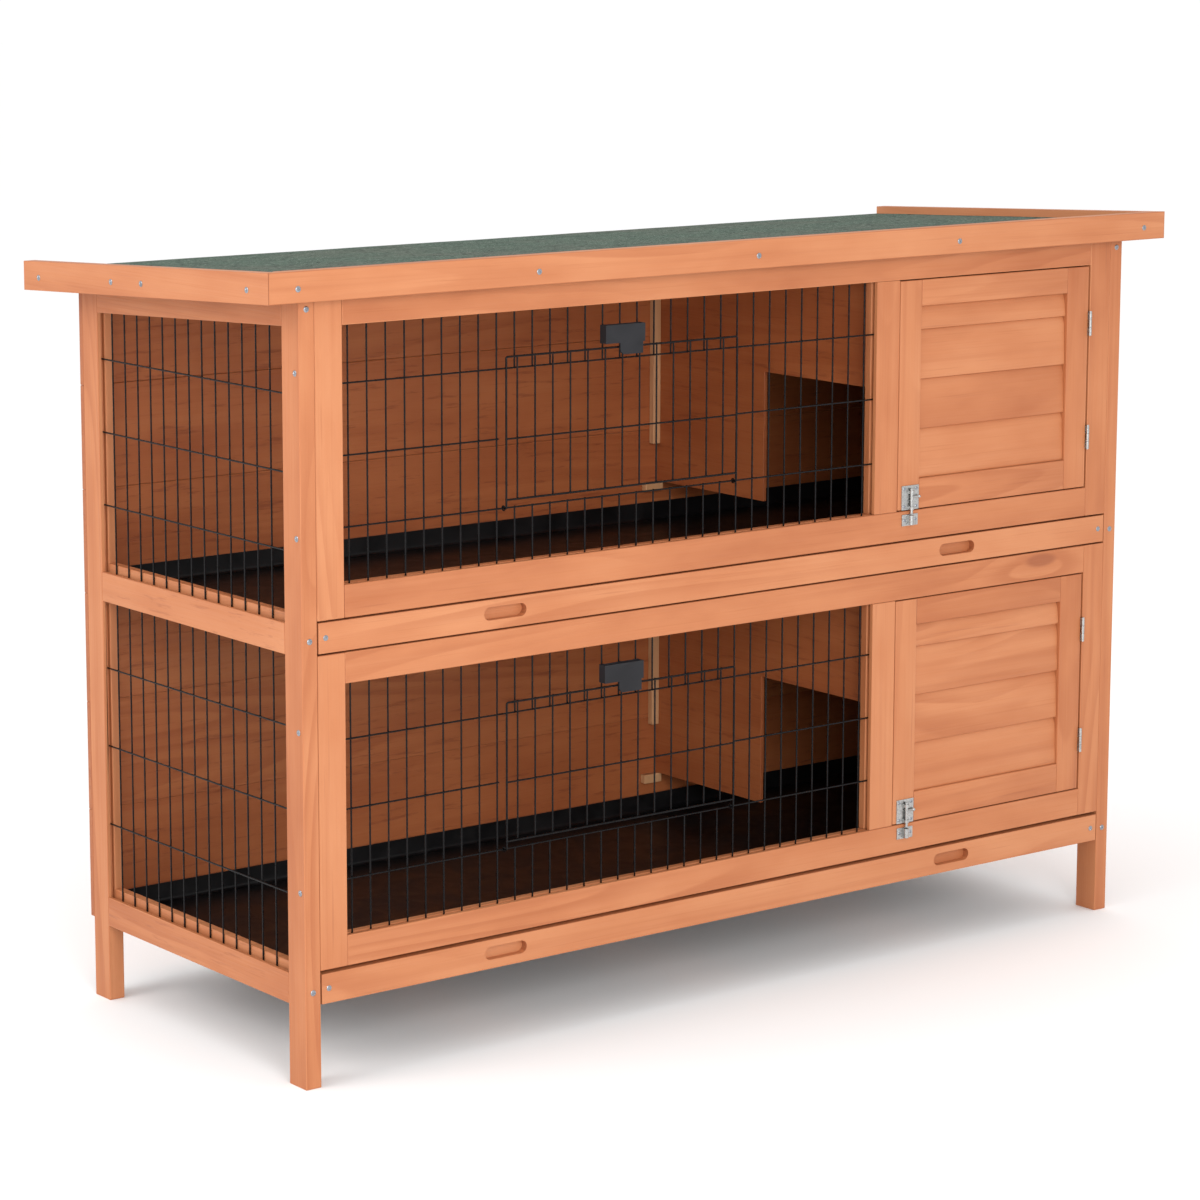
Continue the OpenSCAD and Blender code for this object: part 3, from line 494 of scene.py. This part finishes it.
def dress(names, material, edge=1.0, segments=3):
    """Gives CAD nodes a material and eased edges."""
    for name in names:
        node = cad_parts[name]
        for slot in node.material_slots:
            slot.link = "OBJECT"
            slot.material = material
        node.modifiers.new("plain normals", "NODES").node_group = PLAIN_NORMALS
        weld = node.modifiers.new("weld", "WELD")
        weld.merge_threshold = MERGE_WITHIN
        ease = node.modifiers.new("ease", "BEVEL")
        ease.width, ease.segments, ease.profile = edge * MM, segments, EASE_PROFILE
        ease.limit_method, ease.angle_limit = "ANGLE", math.radians(EASE_ANGLE)
        ease.harden_normals = True


# ---------------------------------------------------------------- carried-over nodes
dress(["front_left_post", "front_right_post", "back_left_post", "back_right_post",
       "lower_front_stiles", "upper_front_stiles"], WOOD["Z"])
dress(["partition_battens"], BARE_WOOD)
dress(["lower_front_top_rail", "lower_front_bottom_rail", "upper_front_top_rail",
       "upper_front_bottom_rail", "roof_front_fascia", "back_rails", "roof_board"], WOOD["X"])
dress(["lower_tray_front", "upper_tray_front"], WOOD["X"], 1.3)
dress(["roof_left_fascia", "roof_right_fascia", "left_top_rail", "right_top_rail",
       "tray_runners", "lower_tray_bars", "upper_tray_bars"], WOOD["Y"])
dress(["left_mid_rail", "left_bottom_rail", "right_mid_rail", "right_bottom_rail"], SAWN_WOOD)
dress(["lower_door_boards", "upper_door_boards"], WOOD["X"], 0.6)
dress(["back_boards_lower", "back_boards_upper"], BACK_WOOD)
dress(["right_boards_lower", "right_boards_upper"], RIGHT_WOOD, 0.6)
dress(["lower_partition", "upper_partition"], PARTITION_WOOD, 0.6)
dress(["lower_clip", "upper_clip"], CLIP_PLASTIC, 0.45)
dress(["lower_latch_plate", "upper_latch_plate", "latch_keepers", "hinge_frame_leaves",
       "lower_hinge_door_leaves", "upper_hinge_door_leaves"], ZINC, 0.22)
dress(["lower_latch_bolt", "upper_latch_bolt", "hinge_pins"], ZINC, 0.4)


# ---------------------------------------------------------------- nest door frames
def door_frame(storey):
    """The nest door's stiles and rails, as separate boards with open joints."""
    low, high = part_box(storey + "_door_frame")
    x0, x1 = (v / MM for v in (low.x - corner.x, high.x - corner.x))
    z0, z1 = low.z / MM, high.z / MM
    thick = (high.y - low.y) / MM
    left, right, bottom, top, joint = 35, 37, 37, 32, 0.1
    stiles, rails = bmesh.new(), bmesh.new()
    board(stiles, (x0, 0, z0), (x0 + left, thick, z1))
    board(stiles, (x1 - right, 0, z0), (x1, thick, z1))
    inner = (x0 + left + joint, x1 - right - joint)
    board(rails, (inner[0], 0, z0), (inner[1], thick, z0 + bottom))
    board(rails, (inner[0], 0, z1 - top), (inner[1], thick, z1))
    body, node = storey + "_nest_door", storey + "_door_frame"
    piece(storey + "_door_stiles", stiles, WOOD["Z"], "stained_wood", body, [node])
    piece(storey + "_door_rails", rails, WOOD["X"], "stained_wood", body)


# ---------------------------------------------------------------- wire panels
WIRE_LAP = 1               # how far a cut wire's end passes the wire it is welded to
WELD_R, DOOR_WELD_R = 1.15, 1.5


def front_panel(storey):
    """The welded front panel, with the doorway left out."""
    base = OPEN_Z + STOREYS[storey] * STOREY_H
    crosses = [base + h for h in CROSS_HEIGHTS]
    ends = (base - WIRE_IN, base + OPEN_H + WIRE_IN)
    columns = [FRONT_WIRE_X0 + i * FRONT_PITCH for i in range(FRONT_WIRES)]
    edge0, edge1 = columns[DOOR_FIRST], columns[DOOR_LAST]
    bm = bmesh.new()
    for x in columns:
        in_doorway = edge0 < x < edge1
        spans = [ends]
        if in_doorway:
            spans = [(ends[0], crosses[0] + WIRE_LAP), (crosses[2] - WIRE_LAP, ends[1])]
        for low, high in spans:
            tube(bm, [(x, UPRIGHT_Y, low), (x, UPRIGHT_Y, high)], WIRE_R)
        for z in ((crosses[0], crosses[2]) if in_doorway else crosses):
            weld_spot(bm, (x, (CROSS_Y + UPRIGHT_Y) / 2, z), WELD_R, (1.15, 0.9, 1.15))
    for i, z in enumerate(crosses):
        runs = [(RUN_X0 - WIRE_IN, RUN_X1 + WIRE_IN)]
        if i == 1:
            runs = [(RUN_X0 - WIRE_IN, edge0 + WIRE_LAP), (edge1 - WIRE_LAP, RUN_X1 + WIRE_IN)]
        for x0, x1 in runs:
            tube(bm, [(x0, CROSS_Y, z), (x1, CROSS_Y, z)], WIRE_R)
    piece(storey + "_front_wires", bm, WIRE, "black_wire", "root", [storey + "_front_mesh"])


def side_panel(storey):
    """The left side's welded panel; the upper one's uprights follow the roof."""
    level, end_gap = STOREYS[storey], 0.4
    base = SIDE_RAIL_TOP + level * STOREY_H
    bm = bmesh.new()
    for i in range(SIDE_WIRES):
        y = SIDE_WIRE_Y0 + i * SIDE_PITCH
        top = SIDE_PANEL_TOP + WIRE_IN
        if level == 1:
            top = roof_top(y) - ROOF_DROP - SIDE_TOP_H + WIRE_IN - end_gap
        tube(bm, [(SIDE_UPRIGHT_X, y, base - WIRE_IN), (SIDE_UPRIGHT_X, y, top)], WIRE_R)
        for h in SIDE_CROSS_HEIGHTS[level]:
            middle = (SIDE_CROSS_X + SIDE_UPRIGHT_X) / 2
            weld_spot(bm, (middle, y, base + h), WELD_R, (0.9, 1.15, 1.15))
    for h in SIDE_CROSS_HEIGHTS[level]:
        ends = (LEG_D - WIRE_IN, BODY_D - LEG_D + WIRE_IN)
        tube(bm, [(SIDE_CROSS_X, y, base + h) for y in ends], WIRE_R)
    piece(storey + "_left_wires", bm, WIRE, "black_wire", "root", ["left_mesh_" + storey])


def wire_door(storey):
    """The wire door: a bent frame with rings round the panel's lowest cross wire."""
    base = OPEN_Z + STOREYS[storey] * STOREY_H
    left_gap, right_gap, turn_r = 8, 6, 2.6
    x0 = FRONT_WIRE_X0 + DOOR_FIRST * FRONT_PITCH + left_gap
    x1 = FRONT_WIRE_X0 + DOOR_LAST * FRONT_PITCH - right_gap
    plane, upright_y = 1.4, 3.62
    hinge, bottom, cross, top = (base + h for h in (62, 72, 141, 233.5))
    ring_r = 2.3
    bm = bmesh.new()
    outline = [(x0, CROSS_Y - ring_r, hinge), (x0, plane, hinge), (x0, plane, top),
               (x1, plane, top), (x1, plane, hinge), (x1, CROSS_Y - ring_r, hinge)]
    tube(bm, rounded(outline, turn_r), DOOR_WIRE_R)
    tube(bm, [(x0, plane, bottom), (x1, plane, bottom)], DOOR_WIRE_R)
    tube(bm, [(x0, plane, cross), (x1, plane, cross)], WIRE_R)
    for x in (x0, x1):
        ring_loop(bm, (x, CROSS_Y, hinge), ring_r, WIRE_R)
        for z in (bottom, cross):
            weld_spot(bm, (x, plane, z), DOOR_WELD_R, (1.0, 0.9, 1.0))
    for i in range(DOOR_FIRST + 1, DOOR_LAST):
        x = FRONT_WIRE_X0 + i * FRONT_PITCH
        tube(bm, [(x, upright_y, bottom - WIRE_LAP), (x, upright_y, top + WIRE_LAP)], WIRE_R)
        for z in (bottom, cross, top):
            weld_spot(bm, (x, (plane + upright_y) / 2, z), WELD_R, (1.15, 1.0, 1.15))
    body, node = storey + "_wire_door", storey + "_wire_door"
    piece(storey + "_wire_door_wires", bm, WIRE, "black_wire", body, [node])


# ---------------------------------------------------------------- trays
def pan_loop(low, high, inset, radius, z, steps=6):
    """A rounded rectangle's points inside a box, at height z."""
    x0, x1, y0, y1 = low.x + inset, high.x - inset, low.y + inset, high.y - inset
    turns = [(x1 - radius, y1 - radius, 0), (x0 + radius, y1 - radius, 1),
             (x0 + radius, y0 + radius, 2), (x1 - radius, y0 + radius, 3)]
    return [Vector((x + radius * math.cos(a), y + radius * math.sin(a), z))
            for x, y, quarter in turns
            for a in (math.pi / 2 * (quarter + k / steps) for k in range(steps + 1))]


def tray_pan(storey):
    """The plastic pan, with rounded corners, a filleted floor and an eased rim."""
    low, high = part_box(storey + "_tray_pan")
    wall, fillet, turn = 1.6 * MM, 5 * MM, 9 * MM
    top, bottom = high.z, low.z
    quarter = [math.pi / 2 * k / 5 for k in range(6)]
    loops = [pan_loop(low, high, fillet * (1 - math.sin(a)), turn - fillet * (1 - math.sin(a)) * 0.6,
                      bottom + fillet * (1 - math.cos(a))) for a in quarter]
    loops += [pan_loop(low, high, 0, turn, top - 0.5 * MM), pan_loop(low, high, 0.3 * MM, turn, top),
              pan_loop(low, high, wall - 0.3 * MM, turn, top)]
    loops += [pan_loop(low, high, wall + fillet * (1 - math.sin(a)),
                       turn - fillet * (1 - math.sin(a)) * 0.6,
                       bottom + wall + fillet * (1 - math.cos(a))) for a in reversed(quarter)]
    bm = bmesh.new()
    rings = [[bm.verts.new(p) for p in loop] for loop in loops]
    for a, b in zip(rings, rings[1:]):
        for k in range(len(a)):
            bm.faces.new((a[k], a[(k + 1) % len(a)], b[(k + 1) % len(a)], b[k]))
    bm.faces.new(rings[0])
    bm.faces.new(rings[-1])
    body, node = storey + "_tray", storey + "_tray_pan"
    piece(storey + "_pan_moulding", bm, PAN_PLASTIC, "tray_plastic", body, [node])


# ---------------------------------------------------------------- roof felt
def roof_felt():
    """A felt sheet that lies on the roof board with slight waves."""
    inset = FASCIA_T + FASCIA_GAP
    x0, x1 = -SIDE_OVERHANG + inset, BODY_W + SIDE_OVERHANG - inset
    y0, y1 = -FRONT_OVERHANG + inset, ROOF_D - FRONT_OVERHANG
    drop, thick, wave = 9.5, 1.7, 0.45
    columns, rows = 96, 38
    bm = bmesh.new()

    def surface(x, y, below):
        rough = (math.sin(x * 0.021 + 1.3 * math.sin(y * 0.017)) + math.sin(y * 0.031 + x * 0.008)
                 + 0.6 * math.sin(x * 0.053 + y * 0.041)) / 2.6
        return at(x, y, roof_top(y) - drop - wave * (0.5 + 0.5 * rough) - below)

    sides = []
    for below in (0, thick - wave):
        sides.append([[bm.verts.new(surface(x0 + (x1 - x0) * i / columns,
                                            y0 + (y1 - y0) * j / rows, below))
                       for i in range(columns + 1)] for j in range(rows + 1)])
    for grid in sides:
        for j in range(rows):
            for i in range(columns):
                bm.faces.new((grid[j][i], grid[j][i + 1], grid[j + 1][i + 1], grid[j + 1][i]))
    upper, under = sides
    rims = [[(0, i) for i in range(columns + 1)], [(rows, i) for i in range(columns + 1)],
            [(j, 0) for j in range(rows + 1)], [(j, columns) for j in range(rows + 1)]]
    for rim in rims:
        for (ja, ia), (jb, ib) in zip(rim, rim[1:]):
            bm.faces.new((upper[ja][ia], upper[jb][ib], under[jb][ib], under[ja][ia]))
    piece("roof_felt_sheet", bm, FELT, "roof_felt", "root", ["roof_felt"])


# ---------------------------------------------------------------- screws
HEAD_R, HEAD_H = 3.4, 1.0
FRONT, LEFT, RIGHT = (0, -1, 0), (-1, 0, 0), (1, 0, 0)


def roof_screws():
    """The fascias' screws: a row of five in front, four on each side."""
    bm = bmesh.new()
    height, reach, count = 19, 15, 5
    for i in range(count):
        x = -reach + i * (BODY_W + 2 * reach) / (count - 1)
        place = (x, -FRONT_OVERHANG, ROOF_Z - height)
        screw_head(bm, place, FRONT, HEAD_R, HEAD_H)
    for y in (20, BODY_D / 2 + 8, BODY_D * 0.66, BODY_D + 8):
        z = roof_top(y) - height
        screw_head(bm, (-SIDE_OVERHANG, y, z), LEFT, HEAD_R, HEAD_H)
        screw_head(bm, (BODY_W + SIDE_OVERHANG, y, z), RIGHT, HEAD_R, HEAD_H)
    piece("roof_screw_heads", bm, SCREW_STEEL, "screw_steel", "root", ["roof_screws"])


def post_screws():
    """The legs' screws, in their fronts and in the front legs' outer sides."""
    bm = bmesh.new()
    fronts = (TRAY_Z + 15, TRAY_Z + 15 + STOREY_H, OPEN_Z + OPEN_H + STOREY_H + 20)
    for x in (LEG_W / 2, BODY_W - LEG_W / 2):
        for z in fronts:
            screw_head(bm, (x, 0, z), FRONT, HEAD_R, HEAD_H)
    for level in STOREYS.values():
        for h in (55, 235):
            z = OPEN_Z + level * STOREY_H + h
            screw_head(bm, (0, LEG_D * 0.24, z), LEFT, HEAD_R, HEAD_H)
            screw_head(bm, (BODY_W, LEG_D * 0.24, z), RIGHT, HEAD_R, HEAD_H)
    piece("post_screw_heads", bm, SCREW_STEEL, "screw_steel", "root", ["post_screws"])


def small_screws(storey):
    """Screws that the CAD has no solids for: in the tray front, the latch and its keeper."""
    base = OPEN_Z + STOREYS[storey] * STOREY_H
    tray_screws, latch_screws, keeper_screws = bmesh.new(), bmesh.new(), bmesh.new()
    inset, plate_y = 11, -1.2
    for x in (LEG_W + inset, BODY_W - LEG_W - inset):
        place = (x, 0, TRAY_Z + TRAY_H / 2 + STOREYS[storey] * STOREY_H)
        screw_head(tray_screws, place, FRONT, 3.2, 0.8)
    for side in (-1, 1):
        for h in (5.5, 27.5):
            screw_head(latch_screws, (LATCH_X + side * 10, plate_y, base + h), FRONT, 2.1, 0.7)
        screw_head(keeper_screws, (LATCH_X + side * 9, plate_y, base - 11.2), FRONT, 2.1, 0.7)
    piece(storey + "_tray_screws", tray_screws, SCREW_STEEL, "screw_steel", storey + "_tray")
    piece(storey + "_latch_screws", latch_screws, SCREW_STEEL, "screw_steel", storey + "_nest_door")
    piece(storey + "_keeper_screws", keeper_screws, SCREW_STEEL, "screw_steel", "root")


for storey in STOREYS:
    door_frame(storey)
    front_panel(storey)
    side_panel(storey)
    wire_door(storey)
    tray_pan(storey)
    small_screws(storey)
roof_felt()
roof_screws()
post_screws()


# ---------------------------------------------------------------- floor and light
WORLD_LIGHT = 1.05
FLOOR_SIZE = 60.0
LAMP_TARGET = Vector((0, 0, 0.45))


def studio():
    """A pale floor, an even white surround and two large soft lamps."""
    scene = bpy.context.scene
    scene.view_settings.view_transform = "Standard"
    scene.world = bpy.data.worlds.new("studio")
    scene.world.use_nodes = True
    surround = scene.world.node_tree.nodes["Background"]
    surround.inputs["Color"].default_value = (1.0, 1.0, 1.0, 1.0)
    surround.inputs["Strength"].default_value = WORLD_LIGHT

    bm = bmesh.new()
    bmesh.ops.create_grid(bm, x_segments=1, y_segments=1, size=FLOOR_SIZE / 2)
    mesh = bpy.data.meshes.new("floor")
    bm.to_mesh(mesh)
    bm.free()
    pale = Shader("pale_floor", 0.9)
    pale.surface.inputs["Base Color"].default_value = (0.96, 0.96, 0.96, 1)
    mesh.materials.append(pale.material)
    floor = bpy.data.objects.new("floor", mesh)
    scene.collection.objects.link(floor)

    lamps = [("key", (-1.7, -3.6, 1.5), 1.9, 82), ("side", (-3.6, 0.2, 2.2), 2.0, 46)]
    for name, place, size, power in lamps:
        light = bpy.data.lights.new(name, "AREA")
        light.shape, light.size, light.energy = "DISK", size, power
        lamp = bpy.data.objects.new(name, light)
        lamp.location = place
        towards = LAMP_TARGET - lamp.location
        lamp.rotation_euler = towards.to_track_quat("-Z", "Y").to_euler()
        scene.collection.objects.link(lamp)


studio()
